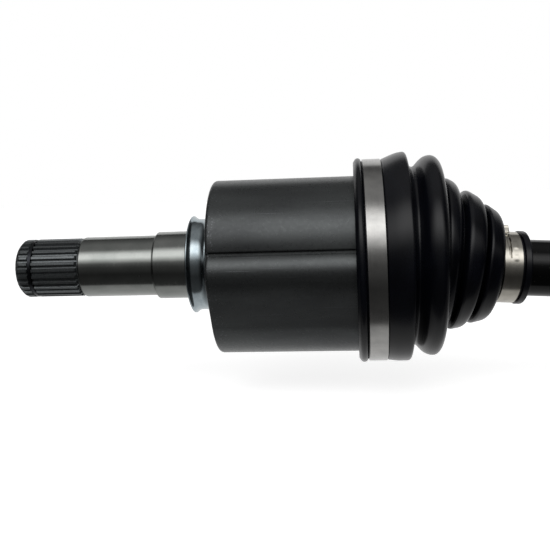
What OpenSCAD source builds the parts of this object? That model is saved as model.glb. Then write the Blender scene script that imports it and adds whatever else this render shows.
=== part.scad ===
// CV half axle: tripod joint at the inner end, ball joint at the outer end.
// +X runs from the gearbox to the wheel and +Z is up. The origin is the middle of the
// inner seal journal. The shaft and the outer joint dip by "dip" about the tripod's centre.

/* [Inner stub] */
// Outer diameter of the inner spline
stub_spline_d = 30.8; // [28:0.1:31]
// Root diameter of the inner spline
stub_root_d = 28.2; // [26:0.1:28.6]
// Teeth on the inner spline
stub_teeth = 28; // [20:1:32]
// Length of the inner spline
stub_spline_length = 33.5; // [24:0.5:50]
// Chamfer on the end of the stub
stub_chamfer = 2.2; // [1:0.1:3]
// Distance from the stub's end to the middle of the circlip groove
circlip_from_end = 8.3; // [5:0.1:15]
// Wire width of the stub circlip
circlip_width = 1.6; // [1:0.1:2.2]
// Relief between the inner spline and the seal journal
stub_relief_length = 1; // [0.5:0.1:3]
// Diameter of the seal journal
seal_journal_d = 31.7; // [31.2:0.1:34]
// Length of the seal journal
seal_journal_length = 39; // [20:0.5:60]
// Length of the conical step between the journals
journal_step_length = 1.1; // [0.6:0.1:3]
// Diameter of the bearing journal
bearing_journal_d = 35.2; // [34.5:0.1:38]
// Length of the bearing journal
bearing_journal_length = 18; // [12:0.5:40]

/* [Dust shield] */
// Diameter of the forged boss under the dust shield
boss_d = 45; // [40:0.5:46]
// Length of the boss
boss_length = 14.4; // [12:0.2:20]
// Thickness of the dust shield
shield_wall = 1.4; // [0.8:0.1:1.5]
// Height of the dust shield's two rolled lips
shield_lip = 1.3; // [0.8:0.1:2]
// Length of the dust shield
shield_length = 11.2; // [8:0.2:11.5]

/* [Inner housing] */
// Diameter over the three lands
housing_d = 92.8; // [92:0.2:94]
// Length of the barrel
housing_length = 84; // [80:0.5:100]
// Distance from the axis to the three flats
flat_distance = 43.15; // [42.5:0.05:45]
// Radius of the rounded nose beside each groove
nose_r = 14; // [12:0.5:16]
// Height of the groove wall over the nose's reference line
groove_wall_height = 4.3; // [3:0.1:5]
// Thickness of the floor behind the tracks
housing_floor = 6.5; // [5:0.5:7]
// Radius of the barrel's rounded left edge
housing_edge = 2; // [1:0.2:3]
// Radius of the lands between the tracks
land_r = 24; // [23:0.2:25]
// Radius of the outer wall of the three track pockets
pocket_r = 38.5; // [37.8:0.1:39.5]
// Radius of the flared mouth
mouth_r = 36; // [34:0.5:37]
// Length of the flared mouth
mouth_length = 24; // [20:0.5:26]

/* [Tripod] */
// Distance from the tripod's centre to the barrel's right face
tripod_depth = 39; // [37:0.5:41]
// Distance from the axis to the middle of each roller
roller_pitch_r = 27; // [26:0.1:28]
// Radius of the crowned roller
roller_r = 15.5; // [14:0.1:16]
// Width of a roller
roller_width = 13; // [11:0.5:13.5]
// Clearance between a roller's crown and its track
track_clearance = 0.75; // [0.7:0.05:1]
// Diameter of a trunnion
trunnion_d = 18; // [16:0.1:18.4]
// Diameter of a needle
needle_d = 2; // [1.8:0.1:2.2]
// Needles in each roller
needle_count = 28; // [20:1:28]
// Width of the tripod's hub
hub_width = 26; // [24:0.5:28]
// Diameter of the tripod's hub
hub_d = 38; // [36:0.5:40]

/* [Bar] */
// Diameter of the bar
bar_d = 28.4; // [26:0.1:30]
// Diameter of the bar's necks inside the joints
neck_d = 23; // [21:0.1:24]
// Diameter of the bar's splined ends
bar_spline_d = 24.4; // [23.5:0.1:25]
// Distance between the centres of the two joints
joint_spacing = 395; // [330:1:600]
// Dip of the bar below the inner joint's axis
dip = 3; // [0:0.5:4]

/* [Inner boot] */
// Length of the boot's lip and cuff over the barrel
inner_cuff_depth = 14.5; // [12:0.5:17]
// Outer diameter of the trilobe bushing
bushing_d = 94.9; // [94.6:0.1:96]
// Thickness of the boot's cuff
cuff_wall = 2.9; // [2.5:0.1:3.2]
// Width of the large clamp bands
large_band_width = 9.4; // [7:0.2:10]
// Thickness of the clamp bands
band_wall = 0.9; // [0.6:0.1:1.2]
// Wall of both boots between the cuffs
boot_wall = 2.8; // [2:0.1:3]
// Distance from the tripod's centre to the inner boot's small cuff
inner_neck_start = 97.4; // [96:0.2:110]
// Width of the small clamp bands
small_band_width = 9.4; // [7:0.2:10]

/* [Outer joint] */
// Radius of the balls' pitch circle
ball_pitch_r = 30; // [29.6:0.1:30.4]
// Diameter of a ball
ball_d = 17; // [16.5:0.1:17.2]
// Clearance of a ball in the inner race's tracks
race_track_clearance = 1.1; // [1:0.05:1.3]
// Clearance of a ball in the bell's tracks, enough for steer and jounce together
bell_track_clearance = 2.4; // [2.3:0.1:2.6]
// Radius of the inner race's sphere
race_r = 25; // [24.5:0.1:25.4]
// Width of the inner race
race_width = 26; // [24:0.5:27]
// Outer radius of the cage
cage_r = 33; // [32.5:0.1:33.4]
// Width of the cage
cage_width = 28; // [27:0.5:29]
// Diameter of the bell
bell_d = 92; // [90:0.5:96]
// Distance from the joint's centre to the bell's mouth
bell_mouth = 20; // [18:0.5:22]
// Radius of the bell's flared mouth
bell_mouth_r = 36; // [35:0.5:38]
// Distance from the joint's centre to the end of the bell's parallel part
bell_parallel = 14; // [10:0.5:18]
// Distance from the joint's centre to the hub face
hub_face_distance = 42; // [40:0.5:48]
// Diameter of the hub face
hub_face_d = 55; // [50:0.5:60]
// Outer diameter of the outer spline
hub_spline_d = 28; // [26:0.1:30]
// Teeth on the outer spline
hub_teeth = 26; // [22:1:30]
// Length of the outer spline
hub_spline_length = 44; // [35:0.5:60]
// Diameter of the threaded end
thread_d = 24; // [20:0.5:25]
// Length of the threaded end
thread_length = 25; // [18:0.5:30]

/* [Outer boot] */
// Diameter of the bell's seat for the boot
bell_seat_d = 88; // [86:0.5:89]
// Distance from the joint's centre to the outer boot's small cuff
outer_neck_start = 92; // [90:0.2:105]

/* [Fits] */
// Gap between pieces that are pressed together
press_gap = 0.02; // [0.01:0.01:0.05]
// Running clearance of needles and balls
running_gap = 0.03; // [0.02:0.01:0.05]
// Gap between a boot and what it is clamped on
boot_gap = 0.1; // [0.08:0.01:0.2]

/* [Hidden] */
$fn = 72;

steel_dark = [0.17, 0.18, 0.19];
steel_bright = [0.68, 0.69, 0.71];
zinc = [0.62, 0.70, 0.78];
rubber_black = [0.05, 0.05, 0.06];

LOBE_COUNT = 3;
LOBE_STEP = 360 / LOBE_COUNT;
// A lobe's angle is counted from -Y towards +Z.
first_lobe_angle = 40;
// The flat and the groove beside each lobe, counted from the lobe's middle
flat_lead = 50;
groove_lead = -33.5;
nose_angle = -10;
BALL_COUNT = 6;

spline_tooth_share = 0.5;
end_overrun = 1;
journal_left = -seal_journal_length / 2;
spline_right = journal_left - stub_relief_length;
stub_end = spline_right - stub_spline_length;
step_left = seal_journal_length / 2;
bearing_left = step_left + journal_step_length;
boss_left = bearing_left + bearing_journal_length;
barrel_left = boss_left + boss_length;
barrel_right = barrel_left + housing_length;
tripod_x = barrel_right - tripod_depth;
housing_r = housing_d / 2;
track_r = roller_r + track_clearance;
circlip_depth = 1.7;
circlip_groove_r = stub_spline_d / 2 - circlip_depth;
groove_side_gap = 0.1;
ring_opening = 6;

shield_left = boss_left + 0.2;
shield_in_r = boss_d / 2 + press_gap;
shield_r = shield_in_r + shield_wall;

trunnion_r = trunnion_d / 2;
needle_ring_r = trunnion_r + running_gap / 2 + needle_d / 2;
roller_bore_r = needle_ring_r + needle_d / 2 + running_gap;
needle_length = roller_width - 1.5;
washer_wall = 0.8;
washer_gap = 0.1;
washer_in = roller_pitch_r + roller_width / 2 + washer_gap;
washer_out = washer_in + washer_wall;
trunnion_ring_wall = 0.8;
trunnion_ring_in = washer_out + washer_gap;
trunnion_tip = trunnion_ring_in + trunnion_ring_wall + 0.9;
trunnion_groove_r = trunnion_r - 0.7;
collar_r = 12.4;
washer_inset = 0.8;
washer_r = sqrt(pow(roller_r, 2) - pow(washer_out - roller_pitch_r, 2)) - washer_inset;
collar_out = roller_pitch_r - roller_width / 2 - 0.3;

snap_wall = 1.4;
snap_depth = 0.9;
snap_r = bar_spline_d / 2 + 1.9;
bar_end_margin = 1.6;
shaft_left = -hub_width / 2 - snap_wall - bar_end_margin;
shaft_right = joint_spacing + race_width / 2 + snap_wall + bar_end_margin;
bar_r = bar_d / 2;
neck_r = neck_d / 2;
taper_length = 7;
seat_margin = 5;

bushing_r = bushing_d / 2;
cuff_in_r = bushing_r + boot_gap;
cuff_r = cuff_in_r + cuff_wall;
band_in_r = cuff_r + boot_gap;
lip_width = 5.7;
lip_height = 1.25;
inner_lip_left = barrel_right - inner_cuff_depth;
inner_band_left = inner_lip_left + lip_width + 0.2;
inner_cuff_end = inner_band_left + large_band_width + 0.2;
small_cuff_in_r = bar_r + boot_gap;
small_cuff_r = small_cuff_in_r + 2.7;
small_band_in_r = small_cuff_r + boot_gap;
small_cuff_length = small_band_width + 1.6;
small_lip_width = 3.4;
small_lip_height = 1.5;
ear_length = 9;
ear_height = 3.2;

race_track_r = ball_d / 2 + race_track_clearance;
bell_track_r = ball_d / 2 + bell_track_clearance;
race_track_sweep = 90;
bell_track_sweep = 96;
cage_in_r = race_r + 0.2;
bell_sphere_r = cage_r + 0.3;
bell_cavity_end = 26;
bell_throat_r = 32;
bell_throat_start = 9;
window_extra = 5;
bell_seat_r = bell_seat_d / 2;
bell_seat_width = 16.2;
bell_back_r = 30;
bell_back_length = 22;
outer_cuff_in_r = bell_seat_r + boot_gap;
outer_cuff_r = outer_cuff_in_r + cuff_wall;
outer_band_in_r = outer_cuff_r + boot_gap;
outer_cuff_left = -bell_mouth + 1.5;
outer_cuff_length = large_band_width + 2.4;
hub_relief_r = 12.2;
hub_relief_length = 3;
thread_relief_length = 1.5;
hub_root_r = hub_spline_d / 2 - 1.1;

// Places a flat section, drawn with Y to the right and Z up, so that it extrudes along +X.
module along_x(from, to) {
    translate([from, 0, 0]) rotate([90, 0, 90]) linear_extrude(to - from) children();
}

// Turns a flat section, drawn with the radius to the right and x upwards, about the X axis.
module turned_section() {
    rotate([90, 0, 90]) rotate_extrude() children();
}

// Turns a section given as [radius, x] points about the X axis.
module turned(points) {
    turned_section() polygon(points);
}

// Half section of a ball of the given radius, cut off at x = from and x = to and bored.
module ball_section(radius, bore_r, from, to) {
    intersection() {
        circle(radius);
        translate([bore_r, from]) square([radius, to - from]);
    }
}

// A plain ring from x = from to x = to.
module ring(inner_r, outer_r, from, to) {
    turned([[inner_r, from], [outer_r, from], [outer_r, to], [inner_r, to]]);
}

// Frame of the bar, with its origin at the tripod's centre.
module in_bar_frame() {
    translate([tripod_x, 0, 0]) rotate([0, dip, 0]) children();
}

// Frame of the outer joint, with its origin at the ball joint's centre.
module in_outer_frame() {
    in_bar_frame() translate([joint_spacing, 0, 0]) children();
}

// Turns +Z to the direction of a lobe or trunnion, whose angle is counted from -Y towards +Z.
module towards(angle) {
    rotate([90 - angle, 0, 0]) children();
}

function lobe_angle(i) = first_lobe_angle + i * LOBE_STEP;
function ball_angle(i) = i * 360 / BALL_COUNT;

// Outline of a straight-sided spline.
module spline_outline(teeth, tip_r, root_r) {
    step = 360 / teeth;
    tip_half = step * spline_tooth_share * 0.36;
    root_half = step * spline_tooth_share * 0.62;
    polygon([for (i = [0:teeth - 1]) for (corner = [[root_r, -root_half], [tip_r, -tip_half],
                                                      [tip_r, tip_half], [root_r, root_half]])
             corner[0] * [cos(i * step + corner[1]), sin(i * step + corner[1])]]);
}

// Spline along X with its free end chamfered.
module splined_end(teeth, tip_r, root_r, from, to, chamfer, chamfer_left, chamfer_right) {
    left_r = chamfer_left ? tip_r - chamfer : tip_r + end_overrun;
    right_r = chamfer_right ? tip_r - chamfer : tip_r + end_overrun;
    intersection() {
        along_x(from, to) spline_outline(teeth, tip_r, root_r);
        turned([[0, from], [left_r, from], [tip_r + end_overrun, from + chamfer + end_overrun],
                [tip_r + end_overrun, to - chamfer - end_overrun], [right_r, to], [0, to]]);
    }
}

// Open retaining ring, with its gap towards +Z.
module open_ring(inner_r, outer_r, from, to) {
    difference() {
        ring(inner_r, outer_r, from, to);
        translate([from - end_overrun, -ring_opening / 2, 0])
            cube([to - from + 2 * end_overrun, ring_opening, outer_r + end_overrun]);
    }
}

// Section of the barrel's outside. "grow" widens it for the bushing that fits over it.
module barrel_section(grow) {
    nose_centre_r = housing_r - nose_r;
    difference() {
        circle(housing_r + grow);
        for (i = [0:LOBE_COUNT - 1]) mirror([1, 0]) {
            rotate(lobe_angle(i) + flat_lead) translate([flat_distance + grow, -housing_r])
                square([housing_r, 2 * housing_r]);
            rotate(lobe_angle(i) + groove_lead) difference() {
                translate([housing_r - 2 * groove_wall_height, -housing_r * sin(-nose_angle)])
                    square([housing_r / 2, groove_wall_height - grow + housing_r * sin(-nose_angle)]);
                rotate(nose_angle) translate([nose_centre_r, 0]) circle(nose_r + grow);
            }
        }
    }
}

// Hollow for the tripod: three roller tracks round a central bore, and a flared mouth.
module tripod_hollow() {
    along_x(barrel_left + housing_floor, barrel_right + end_overrun) {
        circle(land_r);
        intersection() {
            circle(pocket_r);
            for (i = [0:LOBE_COUNT - 1]) mirror([1, 0])
                rotate(lobe_angle(i)) translate([roller_pitch_r, 0]) circle(track_r);
        }
    }
    turned([[0, barrel_right - mouth_length], [land_r, barrel_right - mouth_length],
            [mouth_r, barrel_right], [mouth_r, barrel_right + end_overrun],
            [0, barrel_right + end_overrun]]);
}

module inner_housing() {
    seal_r = seal_journal_d / 2;
    bearing_r = bearing_journal_d / 2;
    root_r = stub_root_d / 2;
    color(steel_dark) difference() {
        union() {
            difference() {
                splined_end(stub_teeth, stub_spline_d / 2, root_r, stub_end, spline_right,
                            stub_chamfer, true, false);
                ring(circlip_groove_r, housing_r,
                     stub_end + circlip_from_end - circlip_width / 2 - groove_side_gap,
                     stub_end + circlip_from_end + circlip_width / 2 + groove_side_gap);
            }
            turned([[0, spline_right - end_overrun], [root_r - 0.4, spline_right - end_overrun],
                    [root_r - 0.4, journal_left], [seal_r - 0.5, journal_left],
                    [seal_r, journal_left + 0.5], [seal_r, step_left], [bearing_r, bearing_left],
                    [bearing_r, boss_left], [boss_d / 2, boss_left],
                    [boss_d / 2, barrel_left + 1], [0, barrel_left + 1]]);
            intersection() {
                along_x(barrel_left, barrel_right) barrel_section(0);
                turned([[0, barrel_left], [housing_r - housing_edge, barrel_left],
                        [housing_r - 0.29 * housing_edge, barrel_left + 0.29 * housing_edge],
                        [housing_r, barrel_left + housing_edge],
                        [housing_r + end_overrun, barrel_left + housing_edge],
                        [housing_r + end_overrun, barrel_right], [0, barrel_right]]);
            }
        }
        tripod_hollow();
        turned([[0, stub_end - end_overrun], [4, stub_end - end_overrun], [4, stub_end],
                [0, stub_end + 7]]);
    }
}

module stub_circlip() {
    middle = stub_end + circlip_from_end;
    color(steel_bright)
        open_ring(circlip_groove_r + press_gap, stub_spline_d / 2 - 0.1, middle - circlip_width / 2,
                  middle + circlip_width / 2);
}

module dust_shield() {
    right = shield_left + shield_length;
    lip_run = 1.8;
    color(zinc)
        turned([[shield_in_r, shield_left], [shield_r + shield_lip, shield_left],
                [shield_r, shield_left + lip_run], [shield_r, right - 2 * lip_run],
                [shield_r + shield_lip, right], [shield_in_r, right]]);
}

module trilobe_bushing() {
    color(rubber_black) difference() {
        ring(flat_distance - 2 * groove_wall_height, bushing_r, inner_band_left - 2, barrel_right);
        along_x(inner_band_left - 2 - end_overrun, barrel_right + end_overrun)
            barrel_section(2 * press_gap);
    }
}

// Steel band with a crimped ear at the given angle.
module clamp_band(inner_r, from, width, angle) {
    outer_r = inner_r + band_wall;
    ear_width = width - 1.6;
    color(steel_bright) {
        ring(inner_r, outer_r, from, from + width);
        towards(angle)
            translate([from + (width - ear_width) / 2, -ear_length / 2, outer_r - band_wall / 2])
                cube([ear_width, ear_length, ear_height + band_wall / 2]);
    }
}

module inner_large_clamp() {
    clamp_band(band_in_r, inner_band_left, large_band_width, first_lobe_angle + LOBE_STEP);
}

// The boot's large end follows the housing and its small end follows the bar.
module inner_boot() {
    lip_r = cuff_r + lip_height;
    shoulder_r = cuff_r + 2.7;
    shoulder_right = inner_cuff_end + 11;
    valley_x = inner_cuff_end + 13.6;
    valley_r = 45;
    crest_left = valley_x + 7.5;
    crest_right = crest_left + 5;
    crest_r = cuff_r + 0.2;
    web_left = barrel_right + 29.4;
    web_right = web_left + 2.8;
    web_r = 41.5;
    web_in_r = 33.5;
    small_end = inner_neck_start + small_cuff_length;
    color(rubber_black) {
        turned([[cuff_in_r, inner_lip_left], [lip_r - 1, inner_lip_left], [lip_r, inner_lip_left + 1.5],
                [lip_r, inner_band_left - 0.4], [cuff_r, inner_band_left - 0.2],
                [cuff_r, inner_cuff_end], [shoulder_r, inner_cuff_end + 0.8],
                [shoulder_r, shoulder_right], [valley_r, valley_x],
                [crest_r, crest_left], [crest_r, crest_right], [web_r, web_left],
                [web_r, web_right], [web_in_r, web_right], [web_in_r, web_left],
                [web_r - boot_wall, web_left - 0.6], [crest_r - boot_wall, crest_right - 1],
                [crest_r - boot_wall, crest_left + 1], [valley_r - boot_wall, valley_x],
                [shoulder_r - boot_wall, shoulder_right - 1.6],
                [shoulder_r - boot_wall, inner_cuff_end + 3], [cuff_in_r, inner_cuff_end]]);
        in_bar_frame()
            turned([[web_r - 4, 69.4], [web_r - 0.6, 69.4], [web_r - 0.6, 71.5], [32, 75.5],
                    [35, 78.8], [35, 81], [27.2, 85], [29.8, 88.4], [29.8, 90.5], [20.5, 94.5],
                    [small_cuff_r, inner_neck_start], [small_cuff_r, small_end],
                    [small_cuff_r + small_lip_height, small_end + 0.4],
                    [small_cuff_r + small_lip_height, small_end + small_lip_width],
                    [small_cuff_in_r, small_end + small_lip_width],
                    [small_cuff_in_r, inner_neck_start - 1], [18, 94], [27, 89.4],
                    [24.4, 85], [32.2, 79.9], [29.2, 75.5], [web_r - 4, 70.9]]);
    }
}

module inner_small_clamp() {
    in_bar_frame()
        clamp_band(small_band_in_r, inner_neck_start + 0.8, small_band_width, 90);
}

module axle_shaft() {
    spline_r = bar_spline_d / 2;
    groove_r = spline_r - snap_depth;
    hub_half = hub_width / 2;
    race_half = race_width / 2;
    left_seat = inner_neck_start - seat_margin;
    right_seat = joint_spacing - outer_neck_start + seat_margin;
    color(steel_dark) in_bar_frame()
        turned([[0, shaft_left], [spline_r - 1, shaft_left], [spline_r, shaft_left + 1],
                [spline_r, -hub_half - snap_wall - groove_side_gap],
                [groove_r, -hub_half - snap_wall - groove_side_gap], [groove_r, -hub_half],
                [spline_r, -hub_half], [spline_r, hub_half], [groove_r, hub_half],
                [groove_r, hub_half + snap_wall + groove_side_gap],
                [spline_r, hub_half + snap_wall + groove_side_gap],
                [spline_r, hub_half + 5], [neck_r, hub_half + 7],
                [neck_r, left_seat - taper_length], [bar_r, left_seat],
                [bar_r, right_seat], [neck_r, right_seat + taper_length],
                [neck_r, joint_spacing - race_half - 7], [spline_r, joint_spacing - race_half - 5],
                [spline_r, joint_spacing - race_half - snap_wall - groove_side_gap],
                [groove_r, joint_spacing - race_half - snap_wall - groove_side_gap],
                [groove_r, joint_spacing - race_half], [spline_r, joint_spacing - race_half],
                [spline_r, joint_spacing + race_half], [groove_r, joint_spacing + race_half],
                [groove_r, joint_spacing + race_half + snap_wall + groove_side_gap],
                [spline_r, joint_spacing + race_half + snap_wall + groove_side_gap],
                [spline_r, shaft_right - 1], [spline_r - 1, shaft_right], [0, shaft_right]]);
}

// Snap rings on both sides of a hub that is centred at x = middle in the bar's frame.
module hub_snap_rings(middle, width) {
    inner_r = bar_spline_d / 2 - snap_depth + press_gap;
    near = width / 2 + groove_side_gap / 2;
    color(steel_bright) in_bar_frame() {
        open_ring(inner_r, snap_r, middle - near - snap_wall, middle - near);
        open_ring(inner_r, snap_r, middle + near, middle + near + snap_wall);
    }
}

module tripod_spider() {
    hub_half = hub_width / 2;
    bore_r = bar_spline_d / 2 + press_gap;
    groove_low = trunnion_ring_in - groove_side_gap / 2;
    groove_high = trunnion_ring_in + trunnion_ring_wall + groove_side_gap / 2;
    color(steel_bright) in_bar_frame() difference() {
        union() {
            turned_section() ball_section(hub_d / 2, bore_r, -hub_half, hub_half);
            for (i = [0:LOBE_COUNT - 1]) towards(lobe_angle(i))
                rotate_extrude()
                    polygon([[0, bore_r + 1], [collar_r, bore_r + 1], [collar_r, collar_out],
                             [trunnion_r, collar_out], [trunnion_r, groove_low],
                             [trunnion_groove_r, groove_low], [trunnion_groove_r, groove_high],
                             [trunnion_r, groove_high], [trunnion_r, trunnion_tip - 0.5],
                             [trunnion_r - 0.5, trunnion_tip], [0, trunnion_tip]]);
        }
        ring(0, bore_r, -hub_d, hub_d);
    }
}

module spider_snap_rings() { hub_snap_rings(0, hub_width); }

module race_snap_rings() { hub_snap_rings(joint_spacing, race_width); }

module trunnion_washers() {
    color(steel_bright) in_bar_frame() for (i = [0:LOBE_COUNT - 1]) towards(lobe_angle(i))
        translate([0, 0, washer_in]) difference() {
            cylinder(h = washer_wall, r = washer_r);
            translate([0, 0, -end_overrun])
                cylinder(h = washer_wall + 2 * end_overrun, r = trunnion_r + press_gap);
        }
}

module trunnion_snap_rings() {
    color(steel_bright) in_bar_frame() for (i = [0:LOBE_COUNT - 1]) towards(lobe_angle(i))
        translate([0, 0, trunnion_ring_in]) difference() {
            cylinder(h = trunnion_ring_wall, r = trunnion_r + 1.3);
            translate([0, 0, -end_overrun])
                cylinder(h = trunnion_ring_wall + 2 * end_overrun, r = trunnion_groove_r + press_gap);
            translate([-ring_opening / 2, 0, -end_overrun])
                cube([ring_opening, collar_r, trunnion_ring_wall + 2 * end_overrun]);
        }
}

module roller(i) {
    color(steel_bright) in_bar_frame() towards(lobe_angle(i))
        translate([0, 0, roller_pitch_r]) difference() {
            intersection() {
                sphere(roller_r);
                cylinder(h = roller_width, r = 2 * roller_r, center = true);
            }
            cylinder(h = 2 * roller_width, r = roller_bore_r, center = true);
        }
}

module needle_set(i) {
    color(steel_bright) in_bar_frame() towards(lobe_angle(i))
        for (n = [0:needle_count - 1]) rotate(n * 360 / needle_count)
            translate([needle_ring_r, 0, roller_pitch_r - needle_length / 2])
                cylinder(h = needle_length, r = needle_d / 2, $fn = 24);
}

// Curved groove that a ball runs in, over "sweep" degrees in the plane of X and of its ball.
module ball_track(i, tube_r, sweep) {
    towards(ball_angle(i)) rotate([90, 0, 0]) rotate(90 - sweep / 2)
        rotate_extrude(angle = sweep) translate([ball_pitch_r, 0]) circle(tube_r);
}

module inner_race() {
    color(steel_bright) in_outer_frame() difference() {
        turned_section() ball_section(race_r, bar_spline_d / 2 + press_gap, -race_width / 2,
                                      race_width / 2);
        for (i = [0:BALL_COUNT - 1]) ball_track(i, race_track_r, race_track_sweep);
    }
}

module ball_cage() {
    window_r = ball_d / 2 + running_gap;
    color(steel_bright) in_outer_frame() difference() {
        turned_section() difference() {
            ball_section(cage_r, 0, -cage_width / 2, cage_width / 2);
            circle(cage_in_r);
        }
        for (i = [0:BALL_COUNT - 1]) towards(ball_angle(i)) translate([0, 0, ball_pitch_r / 2])
            linear_extrude(cage_r) {
                for (side = [-1, 1]) translate([0, side * window_extra / 2]) circle(window_r);
                square([2 * window_r, window_extra], center = true);
            }
    }
}

module ball(i) {
    color(steel_bright) in_outer_frame() towards(ball_angle(i))
        translate([0, 0, ball_pitch_r]) sphere(ball_d / 2);
}

module outer_housing() {
    bell_r = bell_d / 2;
    face_r = hub_face_d / 2;
    back = bell_parallel + bell_back_length;
    spline_left = hub_face_distance + hub_relief_length;
    spline_end = spline_left + hub_spline_length;
    thread_left = spline_end + thread_relief_length;
    stub_right = thread_left + thread_length;
    seat_right = -bell_mouth + bell_seat_width;
    color(steel_dark) in_outer_frame() {
        difference() {
            turned_section() difference() {
                polygon([[0, -bell_mouth], [bell_seat_r, -bell_mouth], [bell_seat_r, seat_right],
                         [bell_r, seat_right + 0.6], [bell_r, bell_parallel],
                         [bell_back_r, back], [face_r, back + 1], [face_r, hub_face_distance],
                         [hub_relief_r, hub_face_distance], [hub_relief_r, spline_left + 1],
                         [0, spline_left + 1]]);
                ball_section(bell_sphere_r, 0, -bell_mouth - end_overrun, bell_cavity_end);
                polygon([[0, -bell_mouth - end_overrun], [bell_mouth_r, -bell_mouth - end_overrun],
                         [bell_mouth_r, -bell_mouth], [bell_throat_r, -bell_throat_start],
                         [0, -bell_throat_start]]);
            }
            for (i = [0:BALL_COUNT - 1]) ball_track(i, bell_track_r, bell_track_sweep);
        }
        splined_end(hub_teeth, hub_spline_d / 2, hub_root_r, spline_left, spline_end, 1, true, true);
        turned([[0, spline_end - 1], [thread_d / 2 - 1.2, spline_end - 1],
                [thread_d / 2 - 1.2, thread_left], [thread_d / 2, thread_left],
                [thread_d / 2, stub_right - 1], [thread_d / 2 - 1, stub_right],
                [4, stub_right], [0, stub_right - 7]]);
    }
}

module outer_boot() {
    cuff_right = outer_cuff_left + outer_cuff_length;
    lip_r = outer_cuff_r + lip_height;
    small_start = -outer_neck_start;
    small_left = small_start - small_cuff_length;
    color(rubber_black) in_outer_frame()
        turned([[outer_cuff_in_r, cuff_right + 2.4], [lip_r, cuff_right + 2.4],
                [lip_r, cuff_right - 1.1], [outer_cuff_r, cuff_right - 1.2],
                [outer_cuff_r, outer_cuff_left], [lip_r, outer_cuff_left - 0.4],
                [lip_r, -31], [41, -35], [47, -40], [47, -43], [33, -49], [39, -54],
                [39, -57], [26.5, -63], [32.5, -68], [32.5, -71], [21, -77], [26, -81],
                [26, -83.5], [18.5, -89], [small_cuff_r, small_start], [small_cuff_r, small_left],
                [small_cuff_r + small_lip_height, small_left - 0.4],
                [small_cuff_r + small_lip_height, small_left - small_lip_width],
                [small_cuff_in_r, small_left - small_lip_width],
                [small_cuff_in_r, small_start + 1], [16, -87.8], [23.2, -82.6], [18.2, -76.8],
                [29.7, -70], [23.7, -62.8], [36.2, -56], [30.2, -48.8], [44.2, -42],
                [38.2, -34.8], [lip_r - boot_wall, -30], [lip_r - boot_wall, -bell_mouth - 3],
                [outer_cuff_in_r, -bell_mouth - 1.2]]);
}

module outer_large_clamp() {
    in_outer_frame() clamp_band(outer_band_in_r, outer_cuff_left + 0.6, large_band_width, 90);
}

module outer_small_clamp() {
    in_outer_frame()
        clamp_band(small_band_in_r, -outer_neck_start - 0.8 - small_band_width, small_band_width, 90);
}

inner_housing();
stub_circlip();
dust_shield();
trilobe_bushing();
inner_large_clamp();
inner_boot();
inner_small_clamp();
axle_shaft();
tripod_spider();
spider_snap_rings();
trunnion_washers();
trunnion_snap_rings();
roller(0);  // roller_1
roller(1);  // roller_2
roller(2);  // roller_3
needle_set(0);  // needle_set_1
needle_set(1);  // needle_set_2
needle_set(2);  // needle_set_3
inner_race();
race_snap_rings();
ball_cage();
ball(0);  // ball_1
ball(1);  // ball_2
ball(2);  // ball_3
ball(3);  // ball_4
ball(4);  // ball_5
ball(5);  // ball_6
outer_housing();
outer_boot();
outer_large_clamp();
outer_small_clamp();
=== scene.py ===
import math

import bmesh
import bpy
from mathutils import Matrix, Vector


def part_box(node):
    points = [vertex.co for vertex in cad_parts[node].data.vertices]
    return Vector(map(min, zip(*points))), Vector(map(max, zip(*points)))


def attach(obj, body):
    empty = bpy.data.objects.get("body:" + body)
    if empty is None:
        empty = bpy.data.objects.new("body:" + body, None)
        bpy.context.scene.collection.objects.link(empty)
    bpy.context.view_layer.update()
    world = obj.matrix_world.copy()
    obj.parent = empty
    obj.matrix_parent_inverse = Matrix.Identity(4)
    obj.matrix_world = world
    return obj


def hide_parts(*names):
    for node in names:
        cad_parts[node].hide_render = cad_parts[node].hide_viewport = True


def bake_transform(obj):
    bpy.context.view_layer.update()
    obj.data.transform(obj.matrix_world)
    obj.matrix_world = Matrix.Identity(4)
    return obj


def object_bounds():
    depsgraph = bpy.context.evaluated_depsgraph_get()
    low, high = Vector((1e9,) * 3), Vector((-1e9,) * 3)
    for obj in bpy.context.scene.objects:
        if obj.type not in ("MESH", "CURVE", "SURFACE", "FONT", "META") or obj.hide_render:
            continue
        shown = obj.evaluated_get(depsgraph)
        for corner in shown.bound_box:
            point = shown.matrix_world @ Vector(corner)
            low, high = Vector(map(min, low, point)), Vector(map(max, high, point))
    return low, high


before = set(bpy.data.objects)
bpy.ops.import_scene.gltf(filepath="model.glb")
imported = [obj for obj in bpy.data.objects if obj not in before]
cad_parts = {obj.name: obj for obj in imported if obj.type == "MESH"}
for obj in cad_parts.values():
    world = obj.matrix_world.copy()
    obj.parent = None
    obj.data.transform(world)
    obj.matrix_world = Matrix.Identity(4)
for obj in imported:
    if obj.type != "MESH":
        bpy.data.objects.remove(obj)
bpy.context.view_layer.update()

# ---- Inner spline ---------------------------------------------------------------------------
# The free end of the inner housing's forging. Its teeth are rolled into the steel, then the
# relief, the circlip groove and the chamfer are turned. A phosphate film leaves it dark.

MM = 0.001
STUB_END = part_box("inner_housing")[0][0] / MM
SPLINE_RIGHT = -20.5
SPLINE_R = 15.4
SPLINE_ROOT_R = 14.0
SPLINE_TEETH = 28
RELIEF_R = 13.7
GROOVE_MIDDLE = STUB_END + 8.3
GROOVE_HALF = 1.2
JOURNAL_LEFT = -19.5
CENTRE_HOLE_R = 4.0
SAMPLES_PER_TOOTH = 12
SHARP_EDGE = math.radians(32)
ROUNDING_STEPS = 6


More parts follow.
